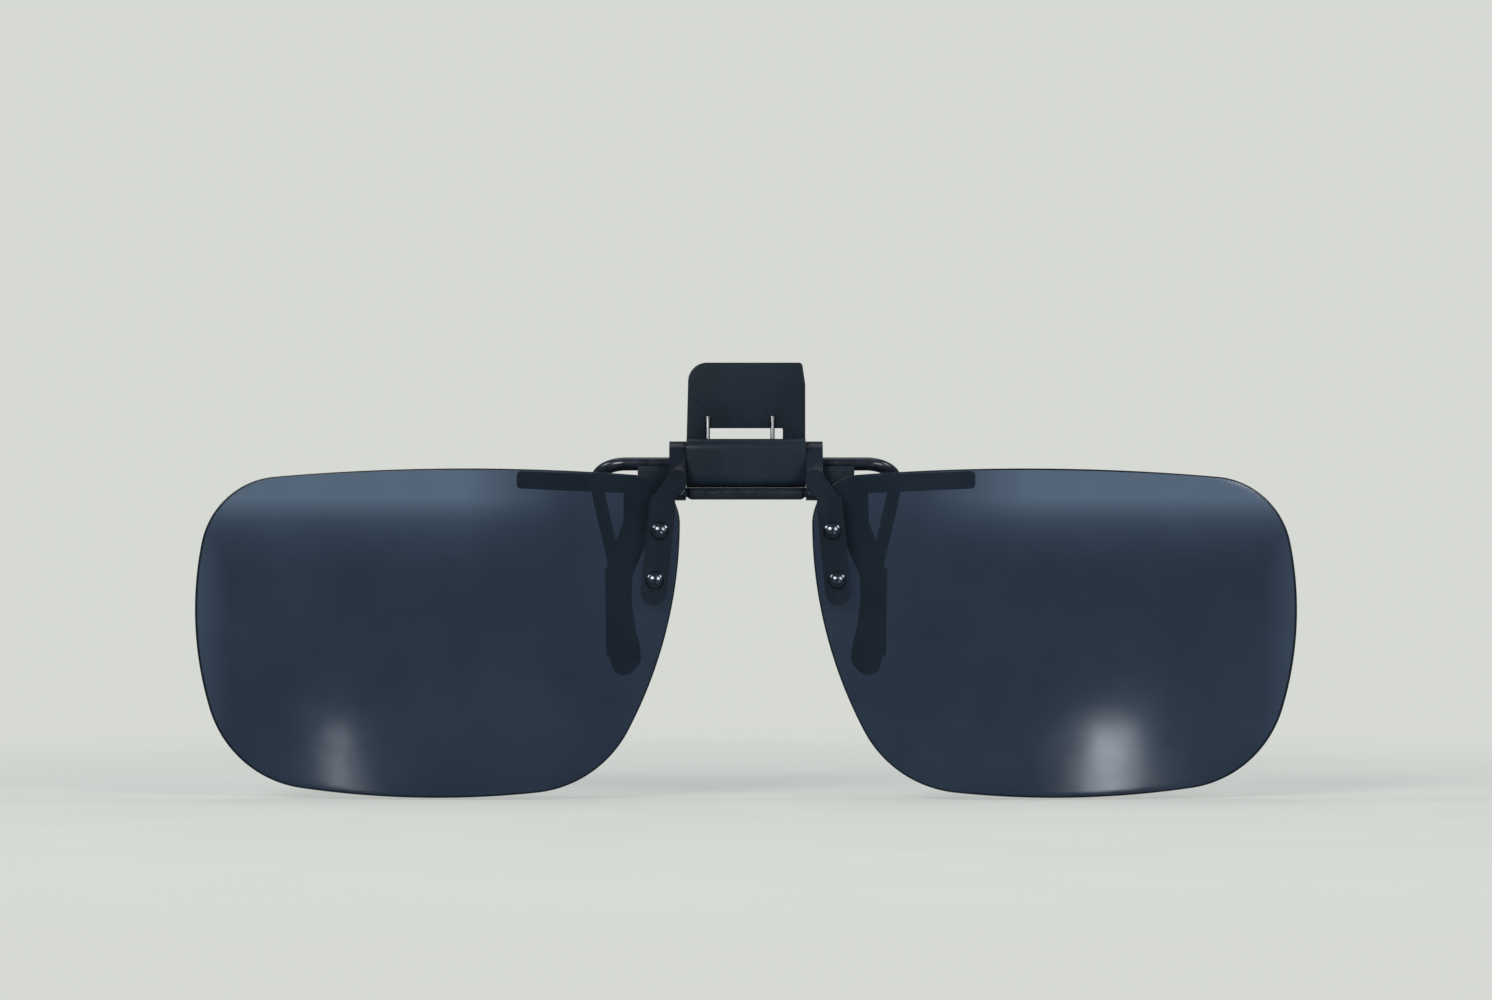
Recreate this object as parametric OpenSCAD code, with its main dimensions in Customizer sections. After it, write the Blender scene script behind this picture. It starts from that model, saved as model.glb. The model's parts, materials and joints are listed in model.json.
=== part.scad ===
// Clip-on flip lenses for spectacles: a spring clip with two lenses hung from its hinge.
// Millimetres. X to the wearer's side, Y back towards the wearer, Z up.
// Origin: on the centre plane, at the rear face of the front prongs, level with the underside
// of the rest bars. Most modules are drawn about the hinge axle and then lifted onto it.

/* [Lenses] */
// Width of one lens
lens_w = 54; // [50:1:58]
// Height of one lens
lens_h = 36.5; // [34:0.5:39]
// Clear gap between the two lenses over the nose
nose_gap = 14.6; // [14.2:0.1:15.4]
// Thickness of the lens sheet
lens_t = 1; // [0.8:0.1:1.1]
// Radius the lens sheet is curved to
lens_r = 265; // [240:5:400]

/* [Clip] */
// Distance over the ends of the two rest bars
bar_span = 50.8; // [46:0.4:54]
// How far the front prongs hang below the hinge axle
prong_drop = 23.1; // [21.5:0.1:25]
// Height of the rest bars' section
bar_h = 1.95; // [1.8:0.05:2.1]
// Width of the thumb tab
tab_w = 13.2; // [12.2:0.2:13.2]
// Height of the thumb tab above the hinge axle
tab_h = 11.3; // [8:0.05:14]
// Diameter of the rear prong wire, which is also the hinge axle
wire_d = 1.48; // [1.2:0.02:1.5]

/* [Lens brackets] */
// Width of the pad riveted to each lens
pad_w = 2.86; // [2.6:0.02:3.2]
// How far the pads reach below the hinge axle
pad_drop = 15.6; // [15:0.1:18]
// Diameter of the rivet heads
rivet_d = 2; // [1.8:0.1:2.4]

/* [Hidden] */
$fn = 64;

axle_y = 0.5;
axle_z = 3.35;           // height of the axle over the rest bars' underside at the middle
wire_r = wire_d / 2;
run = 0.06;              // radial clearance of the axle in its bearings
house_x = 6.6;           // half width of the housing
house_in = 5.45;         // half width of its hollow
ear_in = 6.64;           // inner and outer faces of the bracket ears
ear_out = 8.5;
jaw_front = -1.7;        // front and rear faces of the front prongs, from the axle
jaw_back = -0.5;
bar_back = 0.1;
bar_slope = 2.5;         // the rest bars rise outwards
jaw_in = 8.56;           // the front jaw's full depth starts here, just outside the ears
lens_back = -2.7;        // rear face of the lens at the pads
pad_t = 1.3;
pad_back = lens_back - lens_t;
pad_front = pad_back - pad_t;
tab_front = 1.43;
tab_t = 1.3;
spring_r = 0.24;
coil_r = 1.18;
leg_x = 3.6;             // spring legs, either side of the spring's own middle
spring_x = -0.65;        // the spring sits a little to one side
window = [-4.3, 4.1];    // sides of the tab's window

// corner arcs of a lens, each [x, z, radius], and the radii of the long arcs between them:
// bottom nasal, bottom temporal, top temporal, top nasal
lens_corners = [[24.53, -23.44, 13.05], [47.82, -23.69, 12.45], [51.58, -10.58, 9.2], [12.72, -6.66, 5.47]];
lens_sides = [109, 38, 249, 49.65];

// pad and rivet line, as x at a height z
function pad_x(z) = 9.5 + (-7.4 - z) * 0.102;
rivet_z = [-7.4, -12.85];
pad_end = -pad_drop + pad_w / 2;

// bends of the rear prong wire, in axle coordinates: axle end, three bends, free end
wire_path = [[0.5, 0, 0], [16.6, 0, 0], [16.6, 4.7, -3.02], [14.75, 1.4, -10.6], [13.6, 1.15, -22.2]];
wire_bends = [3.3, 2.2, 3];

// ---- small helpers ----
module about_axle() translate([0, axle_y, axle_z]) children();
module left() mirror([1, 0, 0]) children();
// a profile drawn in Y and Z, thick from x0 to x1
module side_plate(x0, x1) translate([x0, 0, 0]) rotate([90, 0, 90]) linear_extrude(x1 - x0) children();
// a profile drawn in X and Z, thick from y0 to y1
module front_plate(y0, y1) translate([0, y1, 0]) rotate([90, 0, 0]) linear_extrude(y1 - y0) children();
module rod_x(r, x0, x1) translate([x0, 0, 0]) rotate([0, 90, 0]) cylinder(r = r, h = x1 - x0);
module rod_y(r, y0, y1) translate([0, y0, 0]) rotate([-90, 0, 0]) cylinder(r = r, h = y1 - y0);
module slot2d(p, q, r) {
  translate(p) circle(r);
  translate(q) circle(r);
  translate((p + q) / 2) rotate(atan2(q[1] - p[1], q[0] - p[0])) square([norm(q - p), 2 * r], center = true);
}
function unit(v) = v / norm(v);
// points round a bend of radius br at corner b of the path a, b, c
function bend(a, b, c, br, n) = let (u = unit(b - a), v = unit(c - b), turned = acos(u * v),
    m = unit(v - (u * v) * u), start = b - br * tan(turned / 2) * u)
  [for (i = [0 : n]) start + br * (m - m * cos(turned * i / n) + u * sin(turned * i / n))];
// a path through the points p with a bend at each inner point
function bent(p, br, n) = [p[0], for (i = [1 : len(p) - 2]) each bend(p[i - 1], p[i], p[i + 1], br[i - 1], n),
  p[len(p) - 1]];
function flipped(p) = [for (i = [len(p) - 1 : -1 : 0]) [-p[i][0], p[i][1], p[i][2]]];
// direction of a path at point i
function along(p, i) = let (b = i > 0 ? unit(p[i] - p[i - 1]) : [0, 0, 0],
    f = i < len(p) - 1 ? unit(p[i + 1] - p[i]) : [0, 0, 0]) unit(b + f);
// a round wire of radius r swept along a path, with so many sides
module wire(p, r, sides) {
  n = len(p);
  t = [for (i = [0 : n - 1]) along(p, i)];
  side = [for (i = 0, v = unit(cross(t[0], [0.3, 0.5, 0.9])); i < n;
    i = i + 1, v = i < n ? unit(v - (v * t[i]) * t[i]) : v) v];
  polyhedron([for (i = [0 : n - 1]) for (k = [0 : sides - 1])
      p[i] + r * (side[i] * cos(360 * k / sides) + cross(t[i], side[i]) * sin(360 * k / sides))],
    [[for (k = [0 : sides - 1]) k], [for (k = [sides - 1 : -1 : 0]) (n - 1) * sides + k],
      for (i = [0 : n - 2]) for (k = [0 : sides - 1]) let (j = (k + 1) % sides)
        each [[i * sides + k, (i + 1) * sides + j, i * sides + j],
          [i * sides + k, (i + 1) * sides + k, (i + 1) * sides + j]]]);
}

// ---- the lenses ----
function side_centre(a, b, r) =
  let (d = [b[0] - a[0], b[1] - a[1]], l = norm(d), p = r - a[2], q = r - b[2],
       t = (p * p - q * q + l * l) / (2 * l), h = sqrt(p * p - t * t), u = d / l)
  [a[0] + u[0] * t - u[1] * h, a[1] + u[1] * t + u[0] * h];
function turn(a) = a < 0 ? a + 360 : a;
function arc(c, r, a0, a1, n) = let (s = turn(a1 - a0)) [for (i = [0 : n - 1])
  [c[0] + r * cos(a0 + s * i / n), c[1] + r * sin(a0 + s * i / n)]];
function aim(c, s) = atan2(c[1] - s[1], c[0] - s[0]);
function lens_outline() = let (k = lens_corners,
    s = [for (i = [0 : 3]) side_centre(k[i], k[(i + 1) % 4], lens_sides[i])])
  [for (i = [0 : 3]) each concat(
    arc(k[i], k[i][2], aim(k[i], s[(i + 3) % 4]), aim(k[i], s[i]), 14),
    arc(s[i], lens_sides[i], aim(k[i], s[i]), aim(k[(i + 1) % 4], s[i]), 10))];
module lens_shape() {
  o = lens_outline();
  polygon([for (p = o) [nose_gap / 2 + (p[0] - 7.25) * lens_w / 54.04, -0.45 + (p[1] + 0.45) * lens_h / 36.5]]);
}
module lens() {
  difference() {
    intersection() {
      front_plate(-12, 16) lens_shape();
      translate([9.7, pad_back + lens_r, -10]) difference() {
        sphere(r = lens_r, $fn = 128);
        sphere(r = lens_r - lens_t, $fn = 128);
      }
    }
    for (z = rivet_z) translate([pad_x(z), 0, z]) rod_y(0.62, -8, 0);
  }
}
module lens_right() color([0.17, 0.22, 0.28, 0.85]) about_axle() lens();
module lens_left() color([0.17, 0.22, 0.28, 0.85]) about_axle() left() lens();

// ---- the lens brackets: an ear on the axle, an arm forward and a pad over the lens ----
module ear_profile() {
  circle(2.5);
  polygon([[-1.6, 1.8], [-2.6, 0.9], [pad_front + 0.9, -1.1], [pad_front, -2.1], [pad_front, -3.4],
    [pad_front + 0.5, -3.9], [-2.5, -4.05], [-1.62, -3.6], [-1.45, -2.9], [-1, -2]]);
}
module lens_bracket() {
  difference() {
    union() {
      side_plate(ear_in, ear_out) ear_profile();
      front_plate(pad_front, pad_back) {
        slot2d([7.6, -1.7], [9.1, -3.9], 1.05);
        slot2d([pad_x(-4.5), -4.5], [pad_x(pad_end), pad_end], pad_w / 2);
      }
    }
    rod_x(wire_r + run, 6, 9);
    // room for the lens corner beside the arm
    translate([7.2, pad_back - 0.02, -20]) cube([12, lens_t + 0.12, 17.4]);
    translate([0, -2.4, -3.3]) rod_x(0.42, 6, 8.2);
    for (z = rivet_z) translate([pad_x(z), 0, z]) rod_y(0.62, -8, 0);
  }
}
module lens_bracket_right() color([0.11, 0.14, 0.18]) about_axle() lens_bracket();
module lens_bracket_left() color([0.11, 0.14, 0.18]) about_axle() left() lens_bracket();
// the rod that ties the two brackets together in front of the housing's chin
module bridge_rod() color([0.16, 0.19, 0.23]) about_axle() translate([0, -2.4, -3.3]) {
  rod_x(0.66, -5.95, 5.95);
  for (s = [-1, 1]) translate([s * 5.95, 0, 0]) sphere(0.66, $fn = 32);
  rod_x(0.4, -8, 8);
}

// ---- rivets and the washers behind the lens ----
module rivet(z) translate([pad_x(z), 0, z]) {
  rod_y(0.58, pad_front - 0.1, -2.3);
  intersection() {
    translate([0, pad_front + 0.55, 0]) sphere(1.14 * rivet_d / 2, $fn = 48);
    rod_y(rivet_d / 2, pad_front - 2, pad_front);
  }
  rod_y(0.82, -2.42, -2.12);
}
module washer(z) translate([pad_x(z), 0, z]) difference() {
  rod_y(1.15, lens_back + 0.03, -2.44);
  rod_y(0.62, -4, 0);
}
STEEL = [0.3, 0.32, 0.34];
module rivet_upper_right() color(STEEL) about_axle() rivet(rivet_z[0]);
module rivet_lower_right() color(STEEL) about_axle() rivet(rivet_z[1]);
module rivet_upper_left() color(STEEL) about_axle() left() rivet(rivet_z[0]);
module rivet_lower_left() color(STEEL) about_axle() left() rivet(rivet_z[1]);
module washer_upper_right() color(STEEL) about_axle() washer(rivet_z[0]);
module washer_lower_right() color(STEEL) about_axle() washer(rivet_z[1]);
module washer_upper_left() color(STEEL) about_axle() left() washer(rivet_z[0]);
module washer_lower_left() color(STEEL) about_axle() left() washer(rivet_z[1]);

// ---- the fixed half of the clip ----
// section of the housing: rounded in front so the bridge rod can swing round it
module housing_section() {
  intersection() {
    translate([-2.55, -2.62]) square([5.35, 5.46]);
    union() {
      translate([-1.25, -2.62]) square([4.05, 5.46]);
      translate([-2.55, -1.32]) square([2, 2.86]);
      translate([-1.25, -1.32]) circle(1.3);
      translate([-1.25, 1.54]) circle(1.3);
    }
  }
}
module hinge_housing() color([0.14, 0.17, 0.21]) about_axle() difference() {
  side_plate(-house_x, house_x) housing_section();
  // the hollow the lever's hub turns in, open at the top
  translate([-house_in, -1.65, -1.9]) cube([2 * house_in, 3.6, 8]);
  // low rear wall and low side walls behind the front wall
  translate([-house_in, 0, -0.6]) cube([2 * house_in, 4, 8]);
  translate([-8, -1.2, 2.3]) cube([16, 6, 3]);
  translate([-8, 1.2, 1.2]) cube([16, 6, 3]);
  rod_x(wire_r + run, -8, 8);
}
// one side of the front jaw, seen from the front: rest bar, root and prong
module bar_shape() {
  end = bar_span / 2;
  rise = tan(bar_slope) * (end - 11);
  offset(r = 0.5) offset(delta = -0.5) polygon([[jaw_in, -axle_z], [11, -axle_z], [end, -axle_z + rise],
    [end, -axle_z + bar_h + rise], [12, -axle_z + bar_h + 0.05], [jaw_in, -axle_z + bar_h]]);
  translate([jaw_in, -axle_z]) square([3, bar_h]);
}
module prong_shape() {
  e = -prong_drop + 1.7;
  offset(r = 0.5) offset(delta = -0.5) polygon([[9.4, -2.2], [13.5, -2.2], [13.6, -6.5], [14.8, -9.5],
    [15.6, -12.5], [15.5, e], [11.8, e], [12.7, -15.2], [12.6, -12.4], [9.7, -5.6]]);
  hull() {
    translate([13.35, e]) circle(1.7, $fn = 32);
    translate([13.65, e + 1.5]) circle(1.8, $fn = 32);
  }
}
module front_jaw() color([0.12, 0.15, 0.19]) about_axle() {
  for (m = [0, 1]) mirror([m, 0, 0]) {
    front_plate(jaw_front, bar_back) bar_shape();
    front_plate(jaw_front, jaw_back) prong_shape();
    // cradle under the wire, just outside the ear
    difference() {
      translate([jaw_in, jaw_front, -2]) cube([12 - jaw_in, 2.9, 1.75]);
      rod_x(wire_r + 0.15, 8, 13);
    }
  }
  // strap under the housing and behind the ears
  translate([-9, -1.2, -axle_z]) cube([18, 2.8, axle_z - 2.64]);
}
// one wire: a leg on the tab, turns round the axle, a bridge on the front wall, and the same back
module torsion_spring() color([0.75, 0.76, 0.78]) about_axle() {
  turns = 3.5;
  pitch = 0.51;
  foot_x = leg_x - turns * pitch;
  half = concat(
    [[leg_x, coil_r, 5.4], [leg_x, coil_r, 0.4]],
    [for (i = [0 : turns * 20]) let (a = -18 * i) [leg_x - pitch * i / 20, coil_r * cos(a), coil_r * sin(a)]],
    bend([foot_x, -coil_r, 0], [foot_x, -1.36, 1.7], [0, -1.36, 1.7], 0.5, 5));
  translate([spring_x, 0, 0]) wire(concat(half, flipped(half)), spring_r, 10);
}

// ---- the rear jaw: thumb lever, two wire prongs, sleeves and tips ----
module tab_shape() {
  w = tab_w / 2;
  base = 2.75;
  difference() {
    union() {
      // slightly narrower at the top, where one corner is broadly rounded and the other nearly square
      hull() {
        translate([-w + 2.25, tab_h - 2.1]) circle(2.1, $fn = 48);
        translate([w - 0.7, tab_h - 0.4]) circle(0.4, $fn = 24);
        translate([w - 0.4, tab_h - 2.4]) circle(0.4, $fn = 24);
        translate([-w, base]) square([tab_w, 0.5]);
      }
      translate([-5.25, 0]) square([10.5, 4]);
    }
    translate([-4.6, -1]) square([9.2, 3.2]);
    translate([window[0], 2]) square([window[1] - window[0], 2]);
  }
}
module thumb_lever() color([0.14, 0.18, 0.24]) about_axle() {
  front_plate(tab_front, tab_front + tab_t) tab_shape();
  difference() {
    for (s = [-1, 1]) translate([s * 4.925, 0, 0]) {
      rod_x(1.6, -0.325, 0.325);
      translate([-0.325, 0, 0]) cube([0.65, tab_front + tab_t, 1.6]);
    }
    rod_x(wire_r, -6, 6);
  }
}
module rear_wire() wire(bent(wire_path, wire_bends, 12), wire_r, 24);
module rear_prong_wire_right() color([0.13, 0.15, 0.17]) about_axle() rear_wire();
module rear_prong_wire_left() color([0.13, 0.15, 0.17]) about_axle() left() rear_wire();
// points along the wire's last straight run
last_a = wire_path[3];
last_u = unit(wire_path[4] - wire_path[3]);
// turned pieces on that run, drawn as a half section, starting at a distance along it
module on_run(d) translate(last_a + d * last_u)
  rotate([0, acos(last_u[2]), atan2(last_u[1], last_u[0])]) rotate_extrude() children();
module sleeve() on_run(0.9) translate([wire_r + 0.01, 0]) square([1.12 - wire_r - 0.01, 9.5]);
module tip() on_run(10.45) difference() {
  union() {
    square([1.4, 1.1]);
    intersection() {
      translate([0, 1.1]) circle(1.4);
      translate([0, 1.05]) square([2, 2]);
    }
  }
  translate([-1, -1]) square([1 + wire_r + 0.01, 1 + norm(wire_path[4] - last_a) - 10.45]);
}
module rear_prong_sleeve_right() color([0.1, 0.11, 0.13]) about_axle() sleeve();
module rear_prong_sleeve_left() color([0.1, 0.11, 0.13]) about_axle() left() sleeve();
module rear_prong_tip_right() color([0.1, 0.11, 0.13]) about_axle() tip();
module rear_prong_tip_left() color([0.1, 0.11, 0.13]) about_axle() left() tip();

hinge_housing();
front_jaw();
torsion_spring();
thumb_lever();
rear_prong_wire_left();
rear_prong_wire_right();
rear_prong_sleeve_left();
rear_prong_sleeve_right();
rear_prong_tip_left();
rear_prong_tip_right();
lens_bracket_left();
lens_bracket_right();
bridge_rod();
lens_left();
lens_right();
rivet_upper_left();
rivet_lower_left();
rivet_upper_right();
rivet_lower_right();
washer_upper_left();
washer_lower_left();
washer_upper_right();
washer_lower_right();
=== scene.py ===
"""Looks of the clip-on flip lenses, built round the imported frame. Metres: X right, Y back, Z up."""

import json
import math

import bmesh
import bpy
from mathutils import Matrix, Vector

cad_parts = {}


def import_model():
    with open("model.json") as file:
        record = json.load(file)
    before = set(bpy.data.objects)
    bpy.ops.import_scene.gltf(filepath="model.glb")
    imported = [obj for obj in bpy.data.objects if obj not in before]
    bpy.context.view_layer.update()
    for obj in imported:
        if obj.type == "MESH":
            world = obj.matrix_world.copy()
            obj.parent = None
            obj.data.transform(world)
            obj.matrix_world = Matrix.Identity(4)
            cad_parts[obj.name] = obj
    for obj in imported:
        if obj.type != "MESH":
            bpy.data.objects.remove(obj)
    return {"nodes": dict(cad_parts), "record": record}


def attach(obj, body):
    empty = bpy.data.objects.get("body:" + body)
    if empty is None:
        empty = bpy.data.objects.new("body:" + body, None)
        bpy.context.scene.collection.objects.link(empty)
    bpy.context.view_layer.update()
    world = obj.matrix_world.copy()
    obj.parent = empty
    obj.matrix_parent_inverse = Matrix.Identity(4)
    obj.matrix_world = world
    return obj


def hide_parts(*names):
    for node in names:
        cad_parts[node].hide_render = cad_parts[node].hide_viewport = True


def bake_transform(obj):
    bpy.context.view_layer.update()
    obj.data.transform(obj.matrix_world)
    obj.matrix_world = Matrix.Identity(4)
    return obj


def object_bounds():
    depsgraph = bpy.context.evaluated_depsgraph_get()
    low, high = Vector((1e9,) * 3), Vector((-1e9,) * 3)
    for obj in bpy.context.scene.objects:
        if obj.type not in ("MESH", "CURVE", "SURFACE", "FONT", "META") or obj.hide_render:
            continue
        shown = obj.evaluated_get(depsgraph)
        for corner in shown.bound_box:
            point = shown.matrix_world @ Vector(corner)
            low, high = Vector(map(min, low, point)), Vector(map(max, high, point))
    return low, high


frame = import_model()
cad_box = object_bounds()

MM = 0.001
SHY = 0.006  # how far smooth curves stay inside the CAD model's facets, mm
AXLE = Vector((0, 0.5, 3.35)) * MM

# ---------------------------------------------------------------- materials


def srgb(r, g, b):
    """Linear colour from 0-255 sRGB."""

    def linear(v):
        v /= 255
        return v / 12.92 if v <= 0.04045 else ((v + 0.055) / 1.055) ** 2.4

    return (linear(r), linear(g), linear(b), 1)


class Nodes:
    """A new material and short ways to add and link its nodes."""

    def __init__(self, name):
        self.material = bpy.data.materials.new(name)
        self.material.use_nodes = True
        self.tree = self.material.node_tree
        self.shader = self.tree.nodes["Principled BSDF"]
        self.output = self.tree.nodes["Material Output"]
        self.place = self.add("ShaderNodeTexCoord").outputs["Object"]

    def add(self, kind, **settings):
        node = self.tree.nodes.new(kind)
        for key, value in settings.items():
            setattr(node, key, value)
        return node

    def link(self, a, b):
        self.tree.links.new(a, b)

    def noise(self, scale, detail=3, stretch=None, rough=0.5):
        """Noise by place on the object; scale is in features per metre."""
        node = self.add("ShaderNodeTexNoise")
        node.inputs["Scale"].default_value = scale
        node.inputs["Detail"].default_value = detail
        node.inputs["Roughness"].default_value = rough
        place = self.place
        if stretch:
            mapping = self.add("ShaderNodeMapping")
            mapping.inputs["Scale"].default_value = stretch
            self.link(place, mapping.inputs["Vector"])
            place = mapping.outputs["Vector"]
        self.link(place, node.inputs["Vector"])
        return node.outputs["Fac"]

    def across(self, axis, low, high):
        """From 0 at low to 1 at high, in metres along the object's axis. X counts alike on both sides."""
        parts = self.add("ShaderNodeSeparateXYZ")
        self.link(self.place, parts.inputs[0])
        value = parts.outputs[axis]
        if axis == "X":
            value = self.maths("ABSOLUTE", value)
        span = self.add("ShaderNodeMapRange")
        span.inputs["From Min"].default_value = low
        span.inputs["From Max"].default_value = high
        self.link(value, span.inputs["Value"])
        return span.outputs[0]

    def maths(self, operation, *values):
        node = self.add("ShaderNodeMath", operation=operation)
        for value, socket in zip(values, node.inputs):
            self.link(value, socket)
        return node.outputs[0]

    def ramp(self, value, stops):
        """Colour or number by value: stops are (position, colour or number)."""
        node = self.add("ShaderNodeValToRGB")
        ramp = node.color_ramp
        while len(ramp.elements) < len(stops):
            ramp.elements.new(0.5)
        for element, (position, colour) in zip(ramp.elements, stops):
            element.position = position
            if not isinstance(colour, tuple):
                colour = (colour, colour, colour, 1)
            element.color = colour
        self.link(value, node.inputs["Fac"])
        return node.outputs["Color"]

    def mix(self, factor, a, b, blend="MIX"):
        node = self.add("ShaderNodeMix", data_type="RGBA", blend_type=blend)
        for value, socket in ((factor, 0), (a, 6), (b, 7)):
            if isinstance(value, (tuple, float, int)):
                node.inputs[socket].default_value = value
            else:
                self.link(value, node.inputs[socket])
        return node.outputs[2]

    def bump(self, height, distance, strength=1.0, after=None):
        node = self.add("ShaderNodeBump")
        node.inputs["Distance"].default_value = distance
        node.inputs["Strength"].default_value = strength
        self.link(height, node.inputs["Height"])
        if after is not None:
            self.link(after, node.inputs["Normal"])
        return node.outputs["Normal"]

    def set(self, **inputs):
        """Sets or links the shader's inputs, named with _ for a space."""
        for key, value in inputs.items():
            socket = self.shader.inputs[key.replace("_", " ")]
            if isinstance(value, (tuple, float, int)):
                socket.default_value = value
            else:
                self.link(value, socket)


def moulded_black(name, dark, pale, coat=0.0):
    """Injection-moulded black with a cool cast: fine grain, flow marks and a little dust."""
    m = Nodes(name)
    flow = m.noise(180, 4, (1, 1, 0.35))
    grain = m.noise(5200, 2)
    dust = m.ramp(m.noise(2400, 5, rough=0.7), [(0.6, 0.0), (0.76, 1.0)])
    base = m.ramp(flow, [(0.3, dark), (0.7, pale)])
    m.set(
        Base_Color=m.mix(dust, base, srgb(54, 62, 74)),
        Roughness=m.ramp(flow, [(0.25, 0.4), (0.75, 0.54)]),
        Normal=m.bump(m.mix(0.75, flow, grain), 0.00004, 0.35),
        Specular_IOR_Level=0.2,
        Coat_Weight=coat,
        Coat_Roughness=0.13,
    )
    return m.material


def lacquered_wire():
    """Glossy black lacquer on drawn wire, slightly uneven, with pale rubbed specks."""
    m = Nodes("lacquered_wire")
    uneven = m.noise(700, 4)
    specks = m.ramp(m.noise(1900, 4, rough=0.65), [(0.66, 0.0), (0.78, 1.0)])
    base = m.ramp(uneven, [(0.3, srgb(26, 34, 44)), (0.7, srgb(38, 47, 58))])
    m.set(
        Base_Color=m.mix(specks, base, srgb(86, 94, 106)),
        Roughness=m.ramp(uneven, [(0.25, 0.2), (0.75, 0.34)]),
        Normal=m.bump(uneven, 0.00005, 0.5),
        Coat_Weight=0.35,
        Coat_Roughness=0.12,
    )
    return m.material


def soft_vinyl():
    """Dip-moulded vinyl: soft sheen, slightly rippled."""
    m = Nodes("soft_vinyl")
    ripple = m.noise(900, 3, (1, 1, 0.5))
    base = m.ramp(ripple, [(0.3, srgb(21, 26, 33)), (0.7, srgb(30, 36, 44))])
    m.set(
        Base_Color=base,
        Roughness=m.ramp(ripple, [(0.3, 0.34), (0.7, 0.46)]),
        Normal=m.bump(ripple, 0.00006, 0.5),
        Specular_IOR_Level=0.4,
    )
    return m.material


def bright_wire():
    """Bright drawn spring wire with die lines and a faint straw cast."""
    m = Nodes("bright_wire")
    lines = m.noise(6000, 2, (1, 1, 0.08))
    m.set(
        Base_Color=m.ramp(lines, [(0.3, srgb(92, 93, 96)), (0.7, srgb(120, 120, 121))]),
        Metallic=1.0,
        Roughness=m.ramp(lines, [(0.2, 0.08), (0.8, 0.17)]),
        Normal=m.bump(lines, 0.00002, 0.4),
    )
    return m.material


def dark_nickel():
    """Dark polished nickel on rivets and washers, with fine scratches."""
    m = Nodes("dark_nickel")
    cloud = m.noise(1500, 3)
    scratch = m.noise(7000, 2, (1, 0.15, 0.3))
    m.set(
        Base_Color=m.ramp(cloud, [(0.3, srgb(92, 99, 110)), (0.7, srgb(134, 141, 152))]),
        Metallic=1.0,
        Roughness=m.ramp(scratch, [(0.3, 0.14), (0.75, 0.3)]),
        Normal=m.bump(scratch, 0.00002, 0.3),
    )
    return m.material


def tinted_sheet():
    """Dark smoke grey-blue lens sheet: little light passes, the polished face has a faint bloom. Its
    see-through colour holds painted light and shade: lighter along the top and outer side, darker below.
    """
    m = Nodes("tinted_sheet")
    haze = m.noise(60, 5, rough=0.6)
    bloom = m.noise(75, 7, (1, 1, 0.75), rough=0.7)
    m.set(
        Base_Color=m.ramp(bloom, [(0.3, srgb(34, 46, 60)), (0.7, srgb(57, 70, 86))]),
        Roughness=m.ramp(m.noise(240, 5, rough=0.7), [(0.3, 0.09), (0.75, 0.14)]),
        Specular_IOR_Level=1.0,
    )
    # painted light and shade: the see-through colour is lighter along the top, fading out beside the nose
    # where the rest bars shade it, and a little lighter at the outer side, as if lit backing showed through
    # there; lower down it stays dark, as if the lens shaded what is behind it
    top = m.ramp(
        m.across("Z", -0.009, 0.003),
        [(0.0, 0.0), (0.146, 0.044), (0.329, 0.154), (0.471, 0.321), (0.604, 0.66), (0.71, 0.97)],
    )
    painted_light_outward = m.ramp(m.across("X", 0.019, 0.031), [(0.0, 0.12), (0.3, 0.4), (1.0, 1.0)])
    painted_light_outer_side = m.ramp(m.across("X", 0.0575, 0.0615), [(0.0, 0.0), (1.0, 0.4)])
    light = m.maths("MAXIMUM", m.maths("MULTIPLY", top, painted_light_outward), painted_light_outer_side)
    # painted shade: this see-through colour is darker than the sheet's own tint and stands for the lens's
    # shadow on what lies behind it; the lighter colour it is mixed to is nearer the real tint
    deep = m.ramp(haze, [(0.3, (0.212, 0.262, 0.352, 1)), (0.7, (0.238, 0.294, 0.392, 1))])
    through = m.add("ShaderNodeBsdfTransparent")
    m.link(m.mix(light, deep, (0.593, 0.702, 0.859, 1)), through.inputs[0])
    mix = m.add("ShaderNodeMixShader")
    mix.inputs[0].default_value = 0.42
    m.link(through.outputs[0], mix.inputs[1])
    m.link(m.shader.outputs[0], mix.inputs[2])
    m.link(mix.outputs[0], m.output.inputs["Surface"])
    return m.material


def lens_rim():
    """The cut and polished rim of the sheet, looking nearly black end-on."""
    m = Nodes("lens_rim")
    cut = m.noise(900, 4, (1, 0.3, 1))
    m.set(
        Base_Color=m.ramp(cut, [(0.3, srgb(16, 22, 31)), (0.7, srgb(26, 34, 46))]),
        Roughness=m.ramp(cut, [(0.3, 0.2), (0.7, 0.38)]),
        Normal=m.bump(cut, 0.00002, 0.3),
        Specular_IOR_Level=0.4,
    )
    return m.material


MATERIALS = {
    "black_moulding": moulded_black("moulded_black", srgb(25, 36, 47), srgb(34, 47, 60), 0.1),
    "black_wire": lacquered_wire(),
    "black_vinyl": soft_vinyl(),
    "spring_steel": bright_wire(),
    "dark_rivet": dark_nickel(),
    "tinted_lens": tinted_sheet(),
}
LENS_RIM = lens_rim()
# painted shade: the brackets are the same black moulding, given this darker copy as if they sat in less
# light, with more coat
BRACKET_BLACK_SHADED = moulded_black("moulded_black_shaded", srgb(15, 25, 37), srgb(23, 35, 49), 0.4)
SLOTS = {s["node"]: s["material_slot"] for s in frame["record"]["subparts"]}
BODIES = {node: body for body, nodes in frame["record"]["behaviour"]["bodies"].items() for node in nodes}

# ---------------------------------------------------------------- pieces


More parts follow.
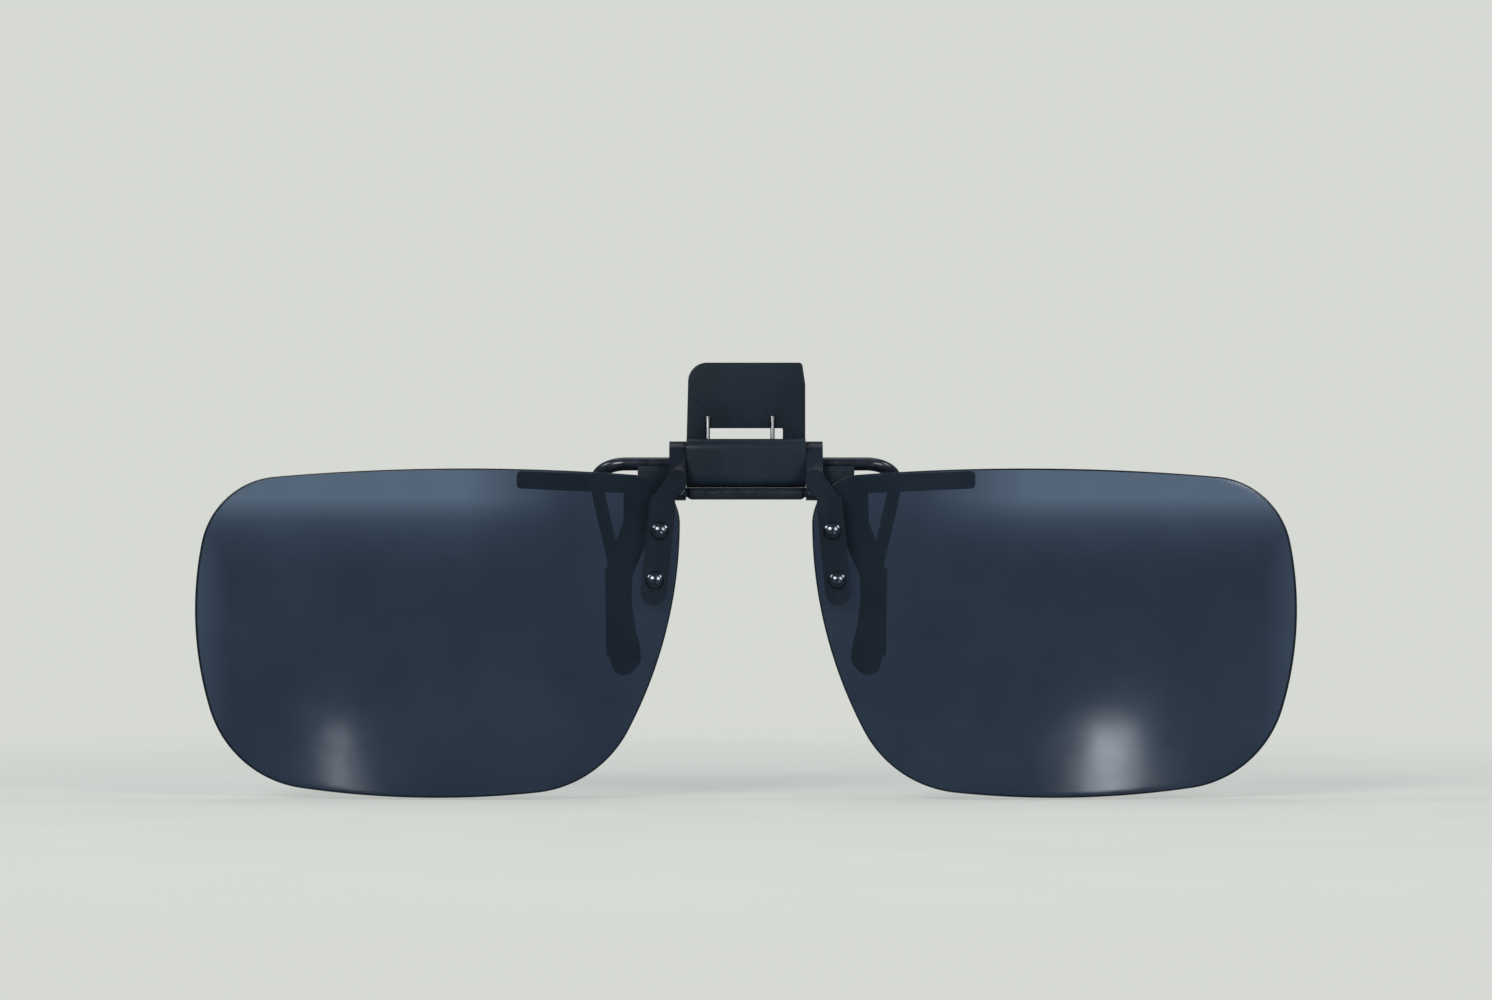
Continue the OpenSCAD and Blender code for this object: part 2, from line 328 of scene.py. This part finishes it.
def finish_piece(mesh, name, node, angle=35, rides=True):
    """Makes an object of the mesh that stands for a CAD node and, if it rides, moves with its body."""
    for polygon in mesh.polygons:
        polygon.use_smooth = True
    mesh.set_sharp_from_angle(angle=math.radians(angle))
    piece = bpy.data.objects.new(name, mesh)
    bpy.context.scene.collection.objects.link(piece)
    piece.data.materials.append(MATERIALS[SLOTS[node]])
    if rides:
        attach(piece, BODIES[node])
    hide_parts(node)
    return piece


def softened(node, radius, wide=None, front_of=0.0):
    """A CAD node's shape with its facets joined into clean faces and its sharp edges rounded.

    Edges wholly in front of the given y get a flat chamfer of the wide size instead. The rims of small bores,
    which are made of short edges, stay sharp.
    """
    bm = bmesh.new()
    bm.from_mesh(frame["nodes"][node].data)
    bmesh.ops.remove_doubles(bm, verts=bm.verts, dist=2e-6)
    flat = math.radians(0.8)
    bmesh.ops.dissolve_limit(bm, angle_limit=flat, verts=bm.verts, edges=bm.edges, delimit={"NORMAL"})

    def in_front(edge):
        return all(v.co.y < front_of for v in edge.verts)

    for size, wanted in ((wide, in_front), (radius, lambda edge: not (wide and in_front(edge)))):
        if not size:
            continue
        bm.normal_update()
        sharp = [e for e in bm.edges if len(e.link_faces) == 2 and e.calc_face_angle(0) > math.radians(32)]
        bmesh.ops.bevel(
            bm,
            geom=[e for e in sharp if wanted(e) and e.calc_length() > 0.1 * MM],
            offset=size,
            segments=1 if size == wide else 3,
            profile=0.5,
            affect="EDGES",
            clamp_overlap=True,
        )
    mesh = bpy.data.meshes.new(node + "_soft")
    bm.to_mesh(mesh)
    bm.free()
    return finish_piece(mesh, node + "_piece", node)


def unit_bend(a, b, c, radius, steps):
    """Points round a bend of that radius at corner b of the path a, b, c."""
    u = (b - a).normalized()
    v = (c - b).normalized()
    turned = u.angle(v)
    inward = (v - u.dot(v) * u).normalized()
    start = b - radius * math.tan(turned / 2) * u
    points = []
    for i in range(steps + 1):
        t = turned * i / steps
        points.append(start + radius * (inward - inward * math.cos(t) + u * math.sin(t)))
    return points


def swept(points, radius, sides, name, node, dome=0.5, rides=True):
    """A smooth round wire along the points, with its ends slightly domed."""
    count = len(points)
    tangents = []
    for i in range(count):
        back = (points[i] - points[i - 1]).normalized() if i else Vector()
        ahead = (points[i + 1] - points[i]).normalized() if i < count - 1 else Vector()
        tangents.append((back + ahead).normalized())
    side = tangents[0].cross(Vector((0.3, 0.5, 0.9))).normalized()
    rings = []
    for i, (point, tangent) in enumerate(zip(points, tangents)):
        side = (side - side.dot(tangent) * tangent).normalized()
        if i == 0 or i == count - 1:
            sign = -1 if i == 0 else 1
            caps = [(1.0, -dome), (0.92, -0.45 * dome), (0.7, -0.14 * dome), (0.35, 0.0)]
            caps = [(w, point + sign * depth * radius * tangent) for w, depth in caps]
            ordered = caps[::-1] if i == 0 else caps
            rings += [(centre, side.copy(), tangent, w) for w, centre in ordered]
        else:
            rings.append((point, side.copy(), tangent, 1.0))
    bm = bmesh.new()
    loops = []
    for centre, side, tangent, w in rings:
        other = tangent.cross(side)
        loop = []
        for k in range(sides):
            a = 2 * math.pi * k / sides
            loop.append(bm.verts.new(centre + w * radius * (side * math.cos(a) + other * math.sin(a))))
        loops.append(loop)
    for a, b in zip(loops, loops[1:]):
        for k in range(sides):
            j = (k + 1) % sides
            bm.faces.new((a[k], a[j], b[j], b[k]))
    bm.faces.new(loops[0][::-1])
    bm.faces.new(loops[-1])
    bmesh.ops.recalc_face_normals(bm, faces=bm.faces)
    mesh = bpy.data.meshes.new(name)
    bm.to_mesh(mesh)
    bm.free()
    return finish_piece(mesh, name, node, 60, rides)


# ---- rear prong wires: the axle's half, a bend back over the rest bar, and the prong
WIRE_R = 0.74
WIRE_PATH = [(0.5, 0, 0), (16.6, 0, 0), (16.6, 4.7, -3.02), (14.75, 1.4, -10.6), (13.6, 1.15, -22.2)]
WIRE_BENDS = [3.3, 2.2, 3]


def wire_points(sign):
    corners = [AXLE + Vector((sign * x, y, z)) * MM for x, y, z in WIRE_PATH]
    points = [corners[0]]
    for i, radius in enumerate(WIRE_BENDS):
        points += unit_bend(corners[i], corners[i + 1], corners[i + 2], radius * MM, 26)
    return points + [corners[-1]]


def rear_wires():
    for side, sign in (("left", -1), ("right", 1)):
        node = "rear_prong_wire_" + side
        swept(wire_points(sign), (WIRE_R - SHY) * MM, 32, node + "_piece", node)


# ---- the double torsion spring, one wire from leg to leg
SPRING_R = 0.24
COIL_R = 1.18
LEG_X = 3.6
SPRING_X = -0.65
TURNS = 3.5
PITCH = 0.51
LEG_TOP = 5.4  # above the axle
BRIDGE_Y = -1.36
BRIDGE_Z = 1.7
BRIDGE_BEND = 0.5


def torsion_spring():
    foot = LEG_X - TURNS * PITCH
    half = [Vector((LEG_X, COIL_R, LEG_TOP)), Vector((LEG_X, COIL_R, 0.4))]
    steps = 32
    for i in range(int(TURNS * steps) + 1):
        a = -2 * math.pi * i / steps
        half.append(Vector((LEG_X - PITCH * i / steps, COIL_R * math.cos(a), COIL_R * math.sin(a))))
    corner, middle = Vector((foot, BRIDGE_Y, BRIDGE_Z)), Vector((0, BRIDGE_Y, BRIDGE_Z))
    half += unit_bend(Vector((foot, -COIL_R, 0)), corner, middle, BRIDGE_BEND, 8)
    other = [Vector((-p.x, p.y, p.z)) for p in reversed(half)]
    points = [AXLE + (p + Vector((SPRING_X, 0, 0))) * MM for p in half + other]
    piece = swept(points, SPRING_R * MM, 16, "torsion_spring_piece", "torsion_spring", 0.2, rides=False)
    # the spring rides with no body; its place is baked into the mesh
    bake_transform(piece)


# ---- the lenses: a sheet curved to a sphere, with a polished rounded edge
LENS_T = 1.0
LENS_R = 265
PAD_BACK = -3.7
NOSE_HALF = 7.3
LENS_SUMMIT = (9.7, -10)  # x, z where the sheet bulges most to the front
LENS_EDGE = 0.18  # radius of the rounded rim
LENS_RINGS = 22  # from the middle of a face to its rim
RIM_STEPS = 6
# corner arcs (x, z, radius) and the radii of the long arcs between them, as in the CAD outline
CORNERS = [(24.53, -23.44, 13.05), (47.82, -23.69, 12.45), (51.58, -10.58, 9.2), (12.72, -6.66, 5.47)]
SIDES = [109, 38, 249, 49.65]


def side_centre(a, b, radius):
    """Centre of the long arc that touches corner circles a and b from outside them."""
    dx, dz = b[0] - a[0], b[1] - a[1]
    apart = math.hypot(dx, dz)
    p, q = radius - a[2], radius - b[2]
    t = (p * p - q * q + apart * apart) / (2 * apart)
    h = math.sqrt(p * p - t * t)
    return (a[0] + dx / apart * t - dz / apart * h, a[1] + dz / apart * t + dx / apart * h)


def arc(centre, radius, start, end, steps):
    span = (end - start) % (2 * math.pi)
    angles = [start + span * i / steps for i in range(steps)]
    return [(centre[0] + radius * math.cos(a), centre[1] + radius * math.sin(a)) for a in angles]


def lens_outline():
    centres = [side_centre(CORNERS[i], CORNERS[(i + 1) % 4], SIDES[i]) for i in range(4)]

    def aim(corner, centre):
        return math.atan2(corner[1] - centre[1], corner[0] - centre[0])

    points = []
    for i in range(4):
        corner, after = CORNERS[i], CORNERS[(i + 1) % 4]
        here = aim(corner, centres[i])
        points += arc(corner, corner[2], aim(corner, centres[i - 1]), here, 36)
        points += arc(centres[i], SIDES[i], here, aim(after, centres[i]), 30)
    return [(NOSE_HALF + (x - 7.25) * 54 / 54.04, z) for x, z in points]


def lens_depth(x, z, radius):
    """Y of the sphere of that radius at x, z, from the axle, in mm."""
    return PAD_BACK + LENS_R - math.sqrt(radius**2 - (x - LENS_SUMMIT[0]) ** 2 - (z - LENS_SUMMIT[1]) ** 2)


def lens(side, sign):
    outline = lens_outline()
    middle = (sum(p[0] for p in outline) / len(outline), sum(p[1] for p in outline) / len(outline))
    # rings from the middle of the front, over the rim, to the middle of the back:
    # (share of the way out, inset in mm, share of the thickness)
    inner = [i / LENS_RINGS for i in range(1, LENS_RINGS)]
    turns = [math.pi / 2 * i / RIM_STEPS for i in range(RIM_STEPS + 1)]
    rings = [(out, LENS_EDGE, 0.0) for out in inner]
    rings += [(1, LENS_EDGE * (1 - math.sin(a)), LENS_EDGE * (1 - math.cos(a)) / LENS_T) for a in turns]
    rings += [(1, LENS_EDGE * (1 - math.cos(a)), 1 - LENS_EDGE * (1 - math.sin(a)) / LENS_T) for a in turns]
    rings += [(out, LENS_EDGE, 1.0) for out in reversed(inner)]
    bm = bmesh.new()
    loops = []
    for out, inset, through in rings:
        loop = []
        for x, z in outline:
            dx, dz = x - middle[0], z - middle[1]
            reach = math.hypot(dx, dz)
            scale = out * (reach - inset - SHY) / reach
            px, pz = middle[0] + dx * scale, middle[1] + dz * scale
            front, back = lens_depth(px, pz, LENS_R), lens_depth(px, pz, LENS_R - LENS_T)
            y = front + through * (back - front)
            loop.append(bm.verts.new(AXLE + Vector((sign * px, y, pz)) * MM))
        loops.append(loop)
    count = len(outline)
    for i, (a, b) in enumerate(zip(loops, loops[1:])):
        for k in range(count):
            j = (k + 1) % count
            face = bm.faces.new((a[k], a[j], b[j], b[k]))
            face.material_index = 1 if rings[i][0] == 1 and rings[i + 1][0] == 1 else 0
    for loop, radius in ((loops[0], LENS_R), (loops[-1], LENS_R - LENS_T)):
        y = lens_depth(middle[0], middle[1], radius)
        centre = bm.verts.new(AXLE + Vector((sign * middle[0], y, middle[1])) * MM)
        for k in range(count):
            bm.faces.new((loop[k], loop[(k + 1) % count], centre))
    bmesh.ops.recalc_face_normals(bm, faces=bm.faces)
    mesh = bpy.data.meshes.new("lens_" + side)
    bm.to_mesh(mesh)
    bm.free()
    piece = finish_piece(mesh, "lens_" + side + "_piece", "lens_" + side, 80)
    piece.data.materials.append(LENS_RIM)


rear_wires()
torsion_spring()
lens("left", -1)
lens("right", 1)
for node in ("thumb_lever", "front_jaw"):
    softened(node, 0.2 * MM)
softened("hinge_housing", 0.1 * MM)
# the brackets wear the darker painted-shade copy of the moulded black
for node in ("lens_bracket_left", "lens_bracket_right"):
    bracket = softened(node, 0.08 * MM, 0.22 * MM, -3 * MM)
    bracket.data.materials[0] = BRACKET_BLACK_SHADED
for side in ("left", "right"):
    softened("rear_prong_sleeve_" + side, 0.1 * MM)
    softened("rear_prong_tip_" + side, 0.12 * MM)

for name, node in frame["nodes"].items():
    node.data.materials.clear()
    node.data.materials.append(MATERIALS[SLOTS[name]])

# ---------------------------------------------------------------- stage, camera and lights

PALE = srgb(215, 218, 212)
FLOOR_Z = cad_box[0][2] - 0.2 * MM


def floor():
    bm = bmesh.new()
    bmesh.ops.create_circle(bm, cap_ends=True, segments=96, radius=0.3)
    mesh = bpy.data.meshes.new("floor")
    bm.to_mesh(mesh)
    bm.free()
    piece = bpy.data.objects.new("floor", mesh)
    piece.location = (0, 0, FLOOR_Z)
    bpy.context.scene.collection.objects.link(piece)
    m = Nodes("pale_floor")
    m.set(
        Base_Color=m.ramp(m.noise(40, 3), [(0.3, srgb(178, 181, 176)), (0.7, srgb(184, 187, 182))]),
        Roughness=0.8,
        Specular_IOR_Level=0.1,
        Emission_Color=PALE,
        Emission_Strength=0.52,
    )
    distance = m.add("ShaderNodeVectorMath", operation="LENGTH")
    m.link(m.place, distance.inputs[0])
    fade = m.ramp(distance.outputs["Value"], [(0.07, 1.0), (0.2, 0.0)])
    fade.node.color_ramp.interpolation = "EASE"
    # seen from below, the floor is clear
    shown = m.maths("SUBTRACT", fade, m.add("ShaderNodeNewGeometry").outputs["Backfacing"])
    clear = m.add("ShaderNodeBsdfTransparent")
    mix = m.add("ShaderNodeMixShader")
    m.link(shown, mix.inputs[0])
    m.link(clear.outputs[0], mix.inputs[1])
    m.link(m.shader.outputs[0], mix.inputs[2])
    m.link(mix.outputs[0], m.output.inputs["Surface"])
    piece.data.materials.append(m.material)
    piece.visible_shadow = False
    piece.visible_glossy = False


def world():
    scene = bpy.context.scene
    scene.world = bpy.data.worlds.new("world")
    scene.world.use_nodes = True
    tree = scene.world.node_tree
    shown = tree.nodes["Background"]
    shown.inputs["Color"].default_value = PALE
    lighting = tree.nodes.new("ShaderNodeBackground")
    lighting.inputs["Color"].default_value = srgb(190, 200, 214)
    lighting.inputs["Strength"].default_value = 0.16
    path = tree.nodes.new("ShaderNodeLightPath")
    mix = tree.nodes.new("ShaderNodeMixShader")
    tree.links.new(path.outputs["Is Camera Ray"], mix.inputs[0])
    tree.links.new(lighting.outputs[0], mix.inputs[1])
    tree.links.new(shown.outputs[0], mix.inputs[2])
    tree.links.new(mix.outputs[0], tree.nodes["World Output"].inputs["Surface"])
    scene.view_settings.view_transform = "Standard"


def area(name, place, size, power, colour=(1, 1, 1), target=(0, 0, -0.01)):
    light = bpy.data.lights.new(name, "AREA")
    light.shape = "RECTANGLE"
    light.size, light.size_y = size
    light.energy = power
    light.color = colour
    lamp = bpy.data.objects.new(name, light)
    lamp.location = place
    lamp.rotation_euler = (Vector(target) - Vector(place)).to_track_quat("-Z", "Y").to_euler()
    bpy.context.scene.collection.objects.link(lamp)


def camera():
    distance = 0.6
    view_width = 0.16486
    data = bpy.data.cameras.new("camera")
    data.sensor_width = 36
    data.lens = 36 * distance / view_width
    data.clip_start = 0.01
    piece = bpy.data.objects.new("camera", data)
    piece.location = (0, AXLE.y - 0.003 - distance, -0.00065)
    piece.rotation_euler = (math.radians(90), 0, 0)
    bpy.context.scene.collection.objects.link(piece)
    bpy.context.scene.camera = piece


floor()
world()
camera()
area("key", (-0.35, -0.6, 0.35), (0.35, 0.25), 2.6)
area("fill", (0.45, -0.5, 0.25), (0.3, 0.3), 1.3)
area("rim_left", (-0.6, -0.005, 0.41), (0.2, 0.2), 0.9, (0.9, 0.95, 1), (-0.009, 0, 0.002))
area("rim_right", (0.6, -0.005, 0.41), (0.2, 0.2), 0.9, (0.9, 0.95, 1), (0.009, 0, 0.002))
area("top", (0, 0.2, 0.5), (0.5, 0.3), 0.4)
# reflected as a glare near each lens's lower edge
area("glare_right", (0.229, -0.6, -0.186), (0.034, 0.09), 0.114, (0.86, 0.91, 1), (0.04, 0, -0.03))
area("glare_left", (-0.264, -0.6, -0.195), (0.01, 0.1), 0.04, (0.86, 0.91, 1), (-0.045, 0, -0.03))
